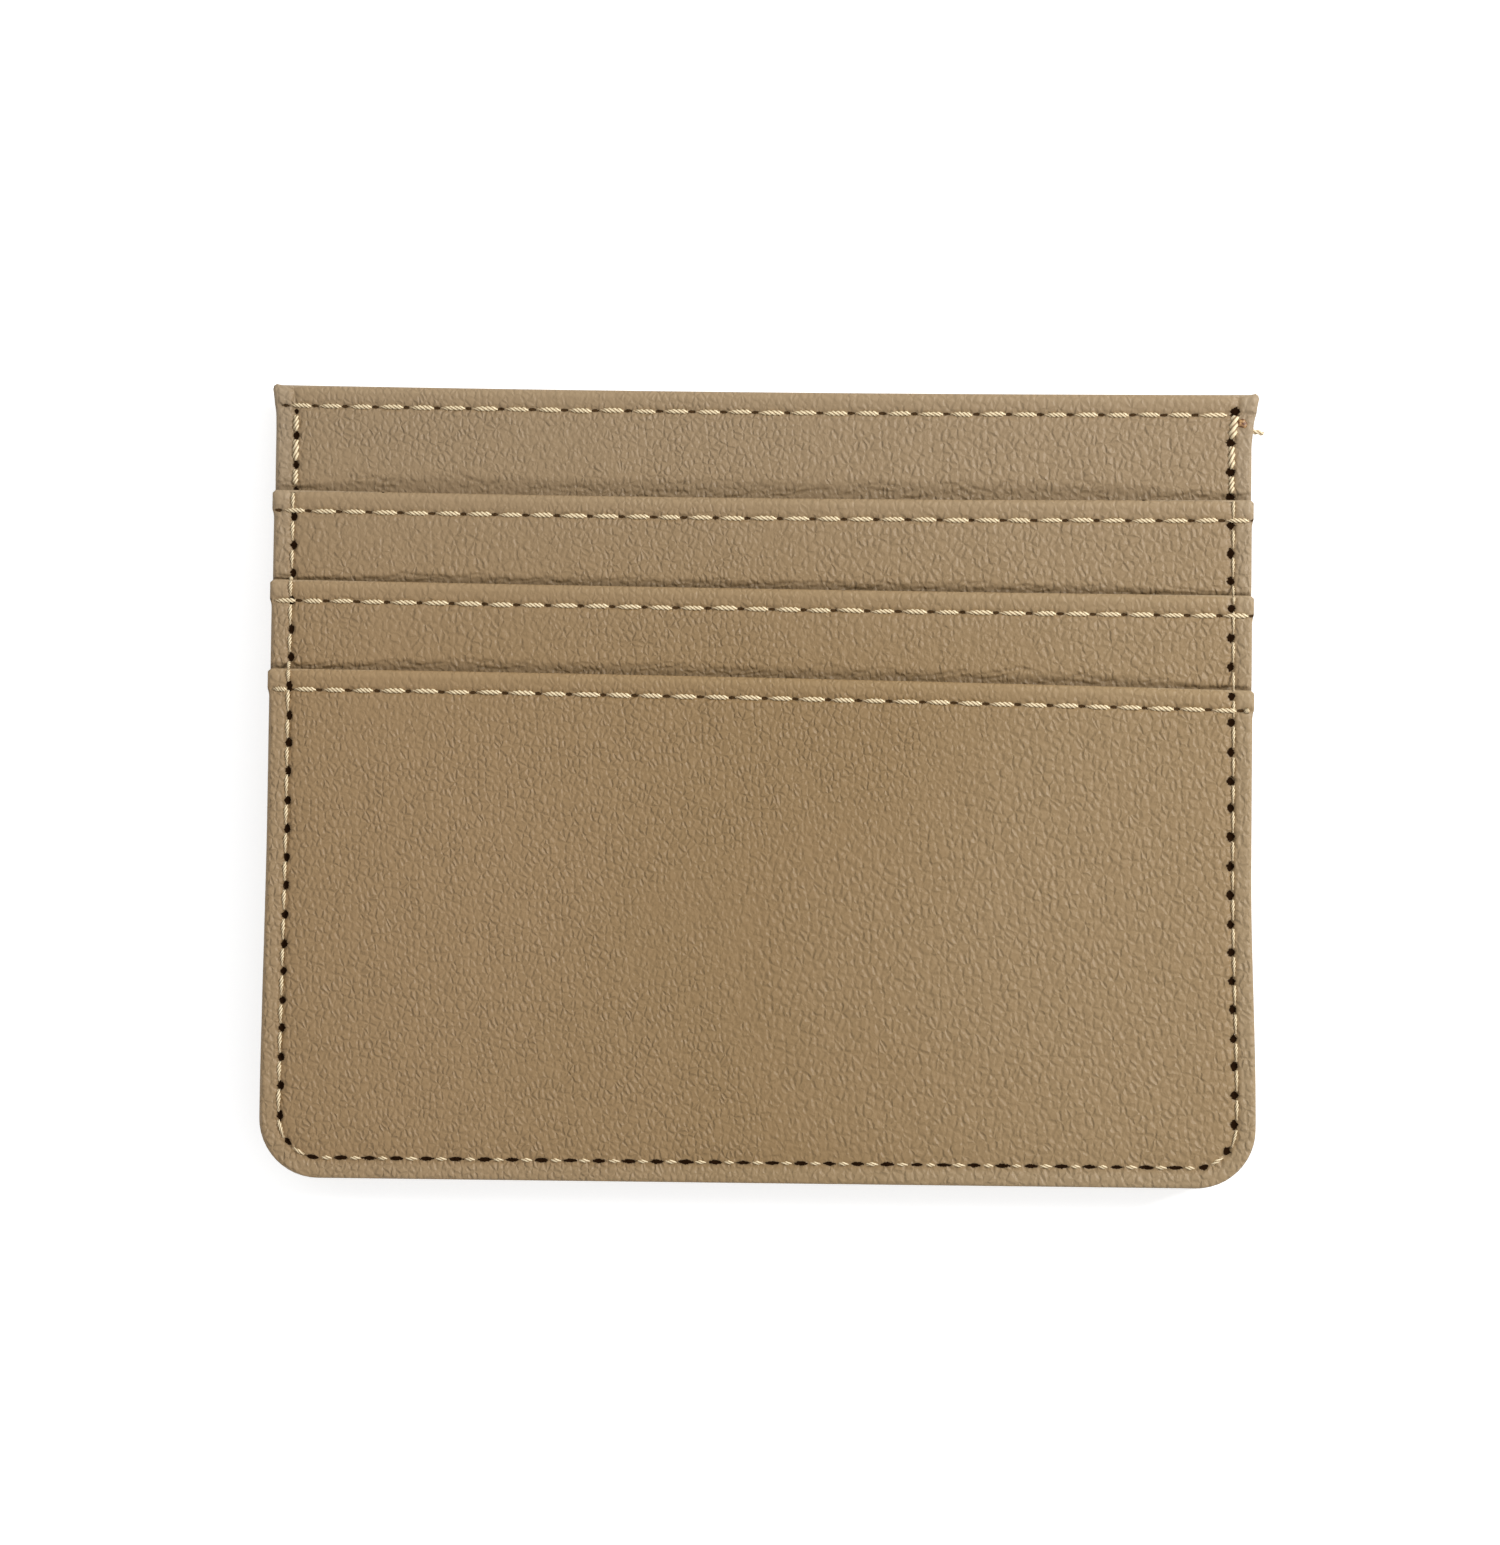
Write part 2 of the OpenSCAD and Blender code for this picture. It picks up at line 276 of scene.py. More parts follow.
class Seam:
    """The perimeter seam in the straight pattern: down the left, along the bottom, up the right"""

    def __init__(self, m):
        self.inset = m.seam_inset
        self.corner = m.corner
        self.radius = m.corner - m.seam_inset
        self.start = MOUTH - m.seam_start_left
        self.side = self.start - m.corner
        self.bend = self.radius * math.pi / 2
        self.base = 2 * (HALF_W - m.corner)
        self.total = 2 * (self.side + self.bend) + self.base + m.seam_start_left - m.seam_start_right
        rng = np.random.default_rng(7)
        self.place_holes(m, rng)
        self.shape_holes(rng)

    def place_holes(self, m, rng):
        """Spaces the needle holes along the seam, between the doubled stitches at its ends"""
        left, right = np.sum(m.tack_left), self.total - np.sum(m.tack_right)
        count = round((right - left) / m.seam_pitch)
        between = np.linspace(left, right, count + 1)
        between[1:-1] += rng.normal(0, 0.09, count - 1)
        left_tack = np.cumsum(m.tack_left)[:-1]
        right_tack = self.total - np.cumsum(m.tack_right)[-2::-1]
        self.holes = np.concatenate([[0], left_tack, between, right_tack, [self.total]])

    def shape_holes(self, rng):
        """Sizes each needle hole and says how far inside the seam line it lies"""
        x, y = np.transpose([self.point(s) for s in self.holes])
        by_base = self.locate(x, y)[2]
        half_length = np.where(by_base > 0.9, 0.76, 0.5) * rng.normal(1, 0.08, len(x))
        half_width = np.where(x > 0, 0.41, 0.35) - 0.08 * by_base
        half_width = np.where(by_base > 0.9, 0.22, half_width) * rng.normal(1, 0.08, len(x))
        half_length[-4:], half_width[-4:] = RIGHT_TACK_HOLES
        half_length[:4], half_width[:4] = LEFT_TACK_HOLES
        self.hole_length = half_length / np.gradient(self.holes)
        self.hole_width = half_width
        self.hole_in = np.where(by_base > 0.5, 0.0, np.where(x > 0, 0.12, 0.04))

    def locate(self, x, y):
        """How far along the seam a point lies, and how far outside the seam line it is"""
        cx = HALF_W - self.corner
        in_corner = (np.abs(x) > cx) & (y < self.corner)
        by_side = np.abs(x) - (HALF_W - self.inset)
        by_base = self.inset - y
        angle = np.arctan2(self.corner - y, np.maximum(np.abs(x) - cx, 1e-9))
        by_corner = np.hypot(np.abs(x) - cx, y - self.corner) - self.radius
        on_side = by_side > by_base
        across = np.where(in_corner, by_corner, np.maximum(by_side, by_base))
        left = np.where(
            in_corner,
            self.side + angle * self.radius,
            np.where(on_side, self.start - y, self.side + self.bend + x + cx),
        )
        right_start = self.side + self.bend + self.base
        right = np.where(
            in_corner,
            right_start + (math.pi / 2 - angle) * self.radius,
            np.where(on_side, right_start + self.bend + y - self.corner, self.side + self.bend + x + cx),
        )
        along = np.where(x < 0, left, right)
        base = np.where(in_corner, angle / (math.pi / 2), np.where(on_side, 0.0, 1.0))
        return along, across, base

    def point(self, s):
        """The point of the straight pattern that lies s along the seam"""
        cx, edge = HALF_W - self.corner, HALF_W - self.inset
        if s < self.side:
            return -edge, self.start - s
        s -= self.side
        if s < self.bend:
            a = s / self.radius
            return -cx - self.radius * math.cos(a), self.corner - self.radius * math.sin(a)
        s -= self.bend
        if s < self.base:
            return -cx + s, self.inset
        s -= self.base
        if s < self.bend:
            a = s / self.radius
            return cx + self.radius * math.sin(a), self.corner - self.radius * math.cos(a)
        return edge, self.corner + s - self.bend


def stitch_count(along, holes):
    """The number of stitches up to a place along a line, with holes at the whole numbers"""
    step = np.interp(along, holes, np.arange(len(holes)))
    before = np.clip((along - holes[0]) / (holes[1] - holes[0]), -0.5, 0)
    after = np.clip((along - holes[-1]) / (holes[-1] - holes[-2]), 0, 0.5)
    return step + before + after


def hole_shape(count, across, half_length, half_width):
    """1 in the middle of a needle hole, falling to 0 at its edge"""
    away = np.abs(count - np.round(count)) / half_length
    return np.clip(1.15 - np.hypot(away, across / half_width), 0, 1)


# ---- leather sheets ----

# The skin has this many faces for each face of a sheet's reverse
REVERSE_STEP = 3
# A distance from every stitch line, for points that none may mark
AWAY = 9.0


def graded(low, high, step, spots=()):
    """Places from low to high about step apart, and closer within reach of each (centre, reach, step)"""
    fine = np.linspace(low, high, 4001)
    spacing = np.full(len(fine), float(step))
    for centre, reach, near in spots:
        spacing = np.minimum(spacing, near + (step - near) * smooth(reach, 2 * reach, np.abs(fine - centre)))
    run = np.concatenate([[0], np.cumsum(np.diff(fine) / spacing[1:])])
    count = max(1, round(run[-1] / REVERSE_STEP)) * REVERSE_STEP
    return np.interp(np.linspace(0, run[-1], count + 1), run, fine)


class Section:
    """The rows of a folded sheet: from the bottom edge up the face, round the fold, down the turned edge"""

    def __init__(self, m, top, level_t, edge):
        fold = level_t / 2
        corner_rows = m.corner * (1 - np.cos(np.linspace(0, math.pi / 2, 13)))
        row = top - m.row_drop
        flat = top - fold
        if edge is None:
            face = graded(m.corner, flat, m.grid, [(row, 0.7, 0.12)])
        else:
            shown = edge - 1.5
            hidden = graded(m.corner, shown, 1.4)
            spots = [(row, 0.7, 0.12), (edge + 0.6, 1.1, 0.1)]
            face = np.concatenate([hidden[:-1], graded(shown, flat, m.grid, spots)])
        y = np.concatenate([corner_rows[:-1], face])
        turn = np.linspace(math.pi / 2, -math.pi / 2, 13)[1:]
        under_rows = 9
        under_rows += (1 - (len(y) + len(turn) + under_rows)) % REVERSE_STEP
        under = np.linspace(flat, top - m.turned, under_rows + 1)[1:]
        self.y = np.concatenate([y, flat + fold * np.cos(turn), under])

        def by_row(on_face, round_fold, on_turned):
            return np.concatenate([np.full(len(y), on_face), round_fold, np.full(len(under), on_turned)])

        self.depth = by_row(0.0, fold - fold * np.sin(turn), level_t)
        self.normal = np.stack([by_row(0.0, np.cos(turn), 0.0), by_row(1.0, np.sin(turn), -1.0)], axis=1)
        length = np.hypot(np.diff(self.y), np.diff(self.depth))
        self.length = np.concatenate([[0], np.cumsum(length)])
        hem = smooth(top - m.turned - 1.5, top - m.turned - 0.3, self.y)
        thin = m.skived + (m.leather - m.skived) * (1 - hem)
        self.thickness = np.where(np.arange(len(self.y)) < len(y), thin, m.skived)
        self.on_face = by_row(1.0, np.clip(np.sin(turn), 0, 1), 0.0)


def half_width(m, y):
    """Half the width of the straight pattern at height y"""
    below = np.clip(m.corner - y, 0, m.corner)
    return HALF_W - m.corner + np.sqrt(m.corner**2 - below**2)


# From the fold below it: where the tucked band's painted shade starts to fade, where the band ends and how
# dark the painted shade is
TUCKS = {"panel": (1.0, 2.2, 0.34), "upper_pocket": (0.1, 1.1, 0.68), "middle_pocket": (0.3, 1.45, 0.53)}


def tuck_relief(level, x, above, seed):
    """Depth of the creased band above the next pocket's fold, and the painted shade that darkens it"""
    near, far, dark = TUCKS[level]
    flat = x * 0
    slack = 1 - 0.55 * smooth(34, 47, np.abs(x))
    near, far = near * slack, far * slack
    height = far * (0.62 + 0.2 * ripple(x, flat, 5.0, seed + 5) + 0.07 * ripple(x, flat, 1.3, seed + 6))
    second = height * (0.5 + 0.18 * ripple(x, flat, 3.6, seed + 7))
    firm = smooth(-1.1, 0.5, ripple(x, flat, 5, seed + 8))
    firm_second = smooth(-0.4, 0.8, ripple(x, flat, 4, seed + 9))
    crease = np.maximum(bell(above - height, 0.13) * firm, bell(above - second, 0.11) * firm_second)
    swell = bell(above - 0.5 * (height + second), 0.16) * firm
    foot = 1 - smooth(near, far, above)
    depth = np.clip(0.13 * crease - 0.04 * swell + 0.22 * (1 - smooth(0, far, above)), 0, 1)
    # The second value is painted shade: darkest at the foot of the band, darker in its creases and lighter on
    # the swell between them
    return depth, np.clip(dark * foot + 0.32 * crease - 0.12 * swell, 0, 1)


def leather_relief(m, side, level, x, y, below_fold, limit, seam_at, row_at):
    """Depth of the leather's surface below its flat level, and the painted shade of its tucked band"""
    seed = 20 + 10 * LEVELS.index(level) + (5 if side == "rear" else 0)
    seam_count, seam_across, seam_length, seam_width, hole_in = seam_at
    row_count, row_across = row_at
    edge_in = np.clip(m.seam_inset - seam_across, 0, m.edge_round)
    depth = m.edge_round - np.sqrt(np.maximum(m.edge_round**2 - (m.edge_round - edge_in) ** 2, 0))
    near_seam = bell(seam_across - 0.06, 0.34) * 0.17 + bell(seam_across, 1.3) * 0.09
    near_row = bell(row_across, 0.32) * 0.2 + bell(row_across, 1.0) * 0.06
    depth = depth + np.maximum(near_seam, near_row)
    seam_pit = hole_shape(seam_count, seam_across + hole_in, seam_length, seam_width)
    row_pit = hole_shape(row_count, row_across, ROW_PIT[0] / m.row_pitch, ROW_PIT[1])
    depth = depth + 0.22 * np.maximum(seam_pit, row_pit)
    depth = depth + 0.1 * (1 - smooth(0, 1.2, below_fold)) ** 2
    tuck_shade = np.zeros_like(x)
    if level in TUCKS:
        cover = LEVELS[LEVELS.index(level) + 1]
        above = y - edge_height(cover) + m.sag(cover, x, side)
        tuck_depth, tuck_shade = tuck_relief(level, x, above, seed)
        depth = depth + tuck_depth
    depth = depth + 0.015 * (1 + ripple(x, y, 7, seed + 3)) + 0.012 * (1 + ripple(x, y, 1.3, seed + 4))
    return np.clip(depth, 0, limit), tuck_shade


def stitch_lines(m, side, level, x, y, below_fold):
    """How points lie to the seam and to their level's row: stitch count, distance across, hole sizes"""
    seam = Seam(m)
    along, seam_across, _ = seam.locate(x, y)
    seam_count = stitch_count(along, seam.holes)
    nearest = np.clip(np.round(seam_count), 0, len(seam.holes) - 1).astype(int)
    holes = seam.hole_length[nearest], seam.hole_width[nearest], seam.hole_in[nearest]
    row_count = stitch_count(OUTWARD[side] * x, row_holes(m, level))
    return (seam_count, seam_across, *holes), (row_count, m.row_drop - below_fold)


def sewn_edges(m, level, flat_x, y, below_fold):
    """Draws the sides in and shapes the ends of the folded edge"""
    hem = 1 - smooth(m.row_drop - 0.2, m.row_drop + 0.5, below_fold)
    by_edge = smooth(HALF_W - 3, HALF_W, np.abs(flat_x))
    from_side = HALF_W - np.abs(flat_x)
    near_fold = 1 - smooth(0, 0.9, below_fold)
    ear = m.ear * (0.35 if level == "panel" else 1)
    x = m.draw_in(flat_x, y) + np.sign(flat_x) * ear * hem * by_edge
    if level == "panel":
        y = y + (0.12 * bell(from_side - 0.3, 0.3) - 0.15 * bell(from_side, 0.12)) * near_fold
        x = x + np.sign(flat_x) * 0.1 * bell(below_fold - 0.4, 0.35) * by_edge**2
    else:
        y = y - 0.3 * np.clip(1 - from_side / 0.45, 0, 1) ** 2 * near_fold
    return x, y


def leather_sheet(m, side, level):
    """One leather piece as a closed folded sheet, with its stitch lines stored for the material"""
    node = f"{side}_{level}"
    low, high = node_box(node)
    top = high[1] - BOTTOM_Y
    outer, inward = outer_z(side, level), -OUTWARD[side]
    k = LEVELS.index(level)
    section = Section(m, top, high[2] - low[2], edge_height(LEVELS[k + 1]) if level in TUCKS else None)
    line = HALF_W - m.seam_inset
    columns = graded(-HALF_W, HALF_W, m.grid, [(-line, 0.7, 0.13), (line, 0.7, 0.13)])

    pattern_y = np.repeat(section.y[:, None], len(columns), axis=1)
    flat_x = columns[None, :] * (half_width(m, section.y) / HALF_W)[:, None]
    lowered = m.sag(level, flat_x, side) * pattern_y / top
    y = pattern_y - lowered
    below_fold = top - pattern_y
    seam_at, row_at = stitch_lines(m, side, level, flat_x, y, below_fold)
    limit = section.thickness[:, None] - 0.05
    depth, tuck_shade = leather_relief(m, side, level, flat_x, y, below_fold, limit, seam_at, row_at)
    face = section.on_face[:, None]
    depth = depth * face
    x, y = sewn_edges(m, level, flat_x, y, below_fold)

    def place(x, y, inset, rows):
        """Points in the holder that lie an inset below the sheet's outer side"""
        normal = section.normal[rows]
        z = outer + inward * (section.depth[rows, None] + inset * normal[:, 1:])
        return np.stack([x, y + BOTTOM_Y - inset * normal[:, :1], np.broadcast_to(z, x.shape)], axis=2)

    third = slice(None, None, REVERSE_STEP)
    skin = place(x, y, depth, slice(None))
    back = place(x[third, third], y[third, third], section.thickness[third, None], third)
    faces = sheet_faces(*skin.shape[:2], *back.shape[:2])
    if side == "rear":
        faces = [f[::-1] for f in faces]
    mesh = new_mesh(node + "_leather", np.concatenate([skin.reshape(-1, 3), back.reshape(-1, 3)]), faces)
    cut_v = np.repeat(section.length[:, None], len(columns), axis=1) - lowered
    lay_out(mesh, flat_x, cut_v, 2 * k + (side == "rear"))
    off_face = np.where(face > 0.5, 0.0, AWAY)
    # The seam line's third number carries the painted shade of the tucks
    store_line(mesh, "seam_line", seam_at[0], seam_at[1] + off_face, tuck_shade * face)
    store_line(mesh, "seam_hole", *seam_at[2:])
    store_line(mesh, "row_line", row_at[0], row_at[1] + off_face, 0 * x)
    piece = new_piece(node + "_leather", mesh, node, pebbled_leather())


def quads(grid):
    """Quads between the neighbours of a grid of point numbers"""
    return np.stack([grid[:-1, :-1], grid[:-1, 1:], grid[1:, 1:], grid[1:, :-1]], axis=2).reshape(-1, 4)


def sheet_faces(rows, cols, back_rows, back_cols):
    """Quads of the skin and of the coarser reverse, joined round the rim"""
    skin = np.arange(rows * cols).reshape(rows, cols)
    back = rows * cols + np.arange(back_rows * back_cols).reshape(back_rows, back_cols)
    faces = quads(skin).tolist() + quads(back)[:, ::-1].tolist()

    def close(edge, reverse_edge):
        """Joins a stretch of the skin's rim to the reverse, once for each face of the reverse"""
        for i in range(len(reverse_edge) - 1):
            stretch = edge[REVERSE_STEP * i : REVERSE_STEP * (i + 1) + 1]
            faces.append([*stretch.tolist(), int(reverse_edge[i + 1]), int(reverse_edge[i])])

    close(skin[:, 0], back[:, 0])
    close(skin[::-1, -1], back[::-1, -1])
    close(skin[0, ::-1], back[0, ::-1])
    close(skin[-1], back[-1])
    return faces


def lay_out(mesh, u, v, piece_number):
    """Gives a sheet the UV map of its flat cut, in metres, each piece from its own part of the hide"""
    shift = 0.13 * piece_number
    skin = np.stack([u * MM + shift, v * MM + shift], axis=2)
    back = skin[::REVERSE_STEP, ::REVERSE_STEP]
    uv = np.concatenate([skin.reshape(-1, 2), back.reshape(-1, 2)])
    corners = np.zeros(len(mesh.loops), np.int32)
    mesh.loops.foreach_get("vertex_index", corners)
    layer = mesh.uv_layers.new(name="cut")
    layer.data.foreach_set("uv", uv[corners].ravel().astype(np.float32))


def store_line(mesh, name, *parts):
    """Stores how a sheet's points lie to a stitch line; the reverse lies away from every line"""
    values = np.stack(np.broadcast_arrays(*parts), axis=2)
    back = values[::REVERSE_STEP, ::REVERSE_STEP].copy()
    back[:, :, 1] += AWAY
    store(mesh, name, np.concatenate([values.reshape(-1, 3), back.reshape(-1, 3)]))


# ---- pieces ----


def new_mesh(name, points, faces):
    """A smooth mesh from points in millimetres"""
    mesh = bpy.data.meshes.new(name)
    mesh.from_pydata((points.reshape(-1, 3) * MM).tolist(), [], faces)
    mesh.shade_smooth()
    return mesh


def store(mesh, name, values):
    """Stores one number or three for each point of a mesh"""
    kind, field = ("FLOAT", "value") if values.shape[-1] != 3 else ("FLOAT_VECTOR", "vector")
    layer = mesh.attributes.new(name, kind, "POINT")
    layer.data.foreach_set(field, values.ravel().astype(np.float32))


def new_object(name, mesh):
    thing = bpy.data.objects.new(name, mesh)
    bpy.context.scene.collection.objects.link(thing)
    return thing


def new_piece(name, mesh, node, finish=None):
    """Adds a mesh to the holder as a piece that stands for a CAD node"""
    piece = new_object(name, mesh)
    if finish:
        mesh.materials.append(finish)
    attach(piece, BODY)
    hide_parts(node)
    return piece


# ---- linings ----


def lining_sheet(m, node):
    """A woven lining as a thin closed sheet, trimmed a little inside the leather's edge"""
    low, high = node_box(node)
    trim = HALF_W - high[0]
    top = high[1] - BOTTOM_Y
    corner_rows = m.corner * (1 - np.cos(np.linspace(0, math.pi / 2, 9)))
    rows_y = np.concatenate([corner_rows[:-1], np.arange(m.corner, top - 0.4, 0.9), [top - 0.2]])
    columns = np.linspace(-1, 1, 112)
    x = columns[None, :] * (half_width(m, rows_y) - trim)[:, None]
    y = np.repeat(np.maximum(rows_y, trim)[:, None], len(columns), axis=1)
    y[1:] = np.maximum(y[1:], y[:-1] + 0.02)
    middle, half = (low[2] + high[2]) / 2, (high[2] - low[2]) / 2 - 0.02
    cockle = 0.012 * ripple(x, y, 5, len(node))
    sides = [np.stack([m.draw_in(x, y), y + BOTTOM_Y, middle + s * half + cockle], axis=2) for s in (1, -1)]
    upper = np.arange(x.size).reshape(x.shape)
    under = upper + x.size

    def rim(a, b):
        return np.stack([a[:-1], b[:-1], b[1:], a[1:]], axis=1).tolist()

    faces = quads(upper).tolist() + quads(under)[:, ::-1].tolist()
    faces += rim(upper[0], under[0]) + rim(upper[-1][::-1], under[-1][::-1])
    faces += rim(upper[::-1, 0], under[::-1, 0]) + rim(upper[:, -1], under[:, -1])
    mesh = new_mesh(node + "_cloth", np.concatenate(sides), faces)
    piece = new_piece(node + "_cloth", mesh, node, woven_lining())


# ---- stitches ----


# Each form gives a stitch's fullness, its rise and the painted shade where it sinks in, along it from 0 to 1
def row_form(s):
    """Fullness, rise and painted shade of an edge stitch: a thin sunk start that swells to a blunt end,
    shaded where it sinks
    """
    full = 0.45 + 0.55 * smooth(0, 0.4, s) - 0.4 * smooth(0.82, 1, s)
    return full, -0.1 * (1 - smooth(0, 0.35, s)) - 0.14 * smooth(0.85, 1, s), 0.85 * (1 - smooth(0, 0.35, s))


def side_form(s):
    """A side stitch: full just below its upper hole, thin and sunk towards the lower one"""
    full = 0.7 + 0.3 * smooth(0, 0.2, s) - 0.35 * smooth(0.35, 0.8, s)
    return full, -0.14 * (1 - smooth(0, 0.2, s)) - 0.1 * smooth(0.5, 1, s), 0.6 * smooth(0.45, 0.9, s)


def base_form(s):
    """A bottom stitch: a short bead that dives at both ends"""
    full = 0.5 + 0.5 * np.sin(np.pi * s)
    return full, -0.2 * (1 - np.sin(np.pi * s)), 0.6 * (1 - np.sin(np.pi * s))


def tack_form(s):
    """A doubled stitch, blunt at both ends"""
    full = 1 - 0.2 * (1 - smooth(0, 0.12, s)) - 0.25 * smooth(0.8, 1, s)
    return full, -0.14 * (1 - smooth(0, 0.15, s)) - 0.14 * smooth(0.85, 1, s), 0.25 * smooth(0.75, 1, s)


def ring_walls(rings, around):
    """Closed faces round a stack of rings of points"""
    ring = np.arange(rings * around).reshape(rings, around)
    turned = np.roll(ring, -1, axis=1)
    walls = np.stack([ring[1:], turned[1:], turned[:-1], ring[:-1]], axis=2).reshape(-1, 4).tolist()
    return walls + [ring[0].tolist(), ring[-1][::-1].tolist()]


def stitch_body(name, reach, thick, turns, form, rings=15):
    """One stitch of three twisted plies, along X with its outer side up"""
    around = 6
    s = np.linspace(0, 1, rings)[:, None]
    a = 2 * np.pi * (np.arange(around) / around + turns * s)
    full, rise, sunk = form(s)
    groove = np.broadcast_to(np.arange(around) % 2, a.shape)
    r = thick / 2 * full * (1.2 - 0.5 * groove)
    points = np.stack([(s - 0.5) * reach + 0 * a, r * np.cos(a), rise + r * np.sin(a)], axis=2)
    mesh = new_mesh(name, points, ring_walls(rings, around))
    # Marks for the thread's painted shade between the plies and where the stitch sinks in
    store(mesh, "groove", groove)
    store(mesh, "sunk", np.broadcast_to(sunk, a.shape))
    return new_object(name, mesh)


def feed(link, value, socket):
    """Joins a socket to another one, or gives it a plain value"""
    if hasattr(value, "is_linked"):
        link(value, socket)
    else:
        socket.default_value = value


def stitch_tree():
    """Geometry nodes that lay one stitch on each guide point, along its own direction"""
    tree = bpy.data.node_groups.new("Lay stitches", "GeometryNodeTree")
    inputs = {"Guides": "Geometry", "Stitch": "Object", "Thread": "Material"}
    for name, kind in (inputs | {"Unevenness": "Float", "Seed": "Int"}).items():
        tree.interface.new_socket(name, in_out="INPUT", socket_type="NodeSocket" + kind)
    tree.interface.new_socket("Stitches", in_out="OUTPUT", socket_type="NodeSocketGeometry")
    add, link = tree.nodes.new, tree.links.new
    given = add("NodeGroupInput").outputs

    def stored(name):
        node = add("GeometryNodeInputNamedAttribute")
        node.data_type = "FLOAT_VECTOR"
        node.inputs["Name"].default_value = name
        return node.outputs["Attribute"]

    def vector_math(operation, *parts):
        node = add("ShaderNodeVectorMath")
        node.operation = operation
        for socket, part in zip(node.inputs, parts):
            feed(link, part, socket)
        return node.outputs[0]

    stitch = add("GeometryNodeObjectInfo")
    stitch.inputs["As Instance"].default_value = True
    link(given["Stitch"], stitch.inputs["Object"])
    axes = add("FunctionNodeAxesToRotation")
    axes.primary_axis, axes.secondary_axis = "X", "Z"
    link(stored("along"), axes.inputs["Primary Axis"])
    link(stored("outward"), axes.inputs["Secondary Axis"])
    uneven = add("FunctionNodeRandomValue")
    uneven.data_type = "FLOAT_VECTOR"
    link(vector_math("MULTIPLY_ADD", given["Unevenness"], (-1, -1, -1), (1, 1, 1)), uneven.inputs["Min"])
    link(vector_math("ADD", given["Unevenness"], (1, 1, 1)), uneven.inputs["Max"])
    link(given["Seed"], uneven.inputs["Seed"])
    place = add("GeometryNodeInstanceOnPoints")
    link(given["Guides"], place.inputs["Points"])
    link(stitch.outputs["Geometry"], place.inputs["Instance"])
    link(axes.outputs["Rotation"], place.inputs["Rotation"])
    link(vector_math("MULTIPLY", stored("stitch_size"), uneven.outputs["Value"]), place.inputs["Scale"])
    real = add("GeometryNodeRealizeInstances")
    link(place.outputs["Instances"], real.inputs["Geometry"])
    paint = add("GeometryNodeSetMaterial")
    link(real.outputs["Geometry"], paint.inputs["Geometry"])
    link(given["Thread"], paint.inputs["Material"])
    link(paint.outputs["Geometry"], add("NodeGroupOutput").inputs["Stitches"])
    return tree


def socket_id(tree, name):
    for item in tree.interface.items_tree:
        if item.item_type == "SOCKET" and item.in_out == "INPUT" and item.name == name:
            return item.identifier
    raise RuntimeError(f"the stitch tree has no input {name}")


def lay_stitches(name, node, ends, outward, stitch, seed):
    """Lays stitches between pairs of ends, given as (start, end, thickness factor) in millimetres"""
    starts, stops = (np.array([e[k] for e in ends], float) for k in (0, 1))
    thick = np.array([e[2] for e in ends], float)
    along = stops - starts
    stretch = np.linalg.norm(along, axis=1) / (stitch.dimensions.x / MM)
    mesh = new_mesh(name + "_guides", (starts + stops) / 2, [])
    store(mesh, "along", along)
    store(mesh, "outward", np.tile(np.array([0, 0, outward], float), (len(ends), 1)))
    store(mesh, "stitch_size", np.stack([stretch, thick, thick], axis=1))
    guides = new_object(name + "_guides", mesh)
    tree = bpy.data.node_groups.get("Lay stitches") or stitch_tree()
    modifier = guides.modifiers.new("Lay stitches", "NODES")
    modifier.node_group = tree
    settings = {"Stitch": stitch, "Thread": cream_thread(), "Unevenness": 0.07, "Seed": seed}
    for key, value in settings.items():
        modifier[socket_id(tree, key)] = value
    laid = bpy.data.meshes.new_from_object(guides.evaluated_get(bpy.context.evaluated_depsgraph_get()))
    laid.name = name
    bpy.data.objects.remove(guides)
    if len(laid.polygons) != len(ends) * len(stitch.data.polygons):
        raise RuntimeError(f"{name} came out with the wrong number of faces")
    laid.shade_smooth()
    return new_piece(name, laid, node)


# Lengths that the stitches of a row and of the seam are made with
ROW_STITCH = 2.56
SEAM_STITCH = 2.2
# From the needle holes of a row's stitch to its ends
ROW_GAP = 0.36
# From the needle holes of each kind of seam stitch to its ends
SEAM_GAPS = {"side_stitch": 0.44, "base_stitch": 0.74, "tack_stitch": 0.42}
# How far a row's and the seam's threads have their middle below the leather's surface
ROW_SINK = 0.19
SEAM_SINK = 0.17
# Thickness factors of the right tack's doubled stitches, from below
RIGHT_TACK_FULLNESS = (1.0, 1.15, 1.5)


def outer_level(m, side, x, y):
    """Z of the holder's outer surface at a point of the straight pattern"""
    found = "panel"
    for level in LEVELS[1:]:
        if y < edge_height(level) - m.sag(level, x, side):
            found = level
    return outer_z(side, found)


def edge_row(m, side, level):
    """The row of stitches below a folded edge"""
    outward = OUTWARD[side]
    z = outer_z(side, level) - outward * ROW_SINK
    holes = row_holes(m, level)
    row_y = node_box(f"{side}_{level}")[1][1] - m.row_drop
    edge = HALF_W - 0.3
    end = HALF_W - 2.9 if level == "panel" else edge
    rng = np.random.default_rng(90 + LEVELS.index(level))
    stitches = []
    for a, b in zip(holes[:-1] + ROW_GAP, holes[1:] - ROW_GAP):
        a, b = max(a, -edge), min(b, end)
        if b - a < 0.5:
            continue
        ends = []
        for x in (outward * a, outward * b):
            sag = float(m.sag(level, np.array(x), side))
            drawn = float(m.draw_in(np.array(x), np.array(row_y - BOTTOM_Y)))
            ends.append((drawn, row_y - sag + rng.normal(0, 0.03), z))
        stitches.append((*ends, 1.0))
    name = "mouth" if level == "panel" else level.split("_")[0]
    thread = f"{side}_{name}_thread"
    seed = 31 + LEVELS.index(level)
    lay_stitches(thread + "_stitches", thread, stitches, outward, bpy.data.objects["row_stitch"], seed)


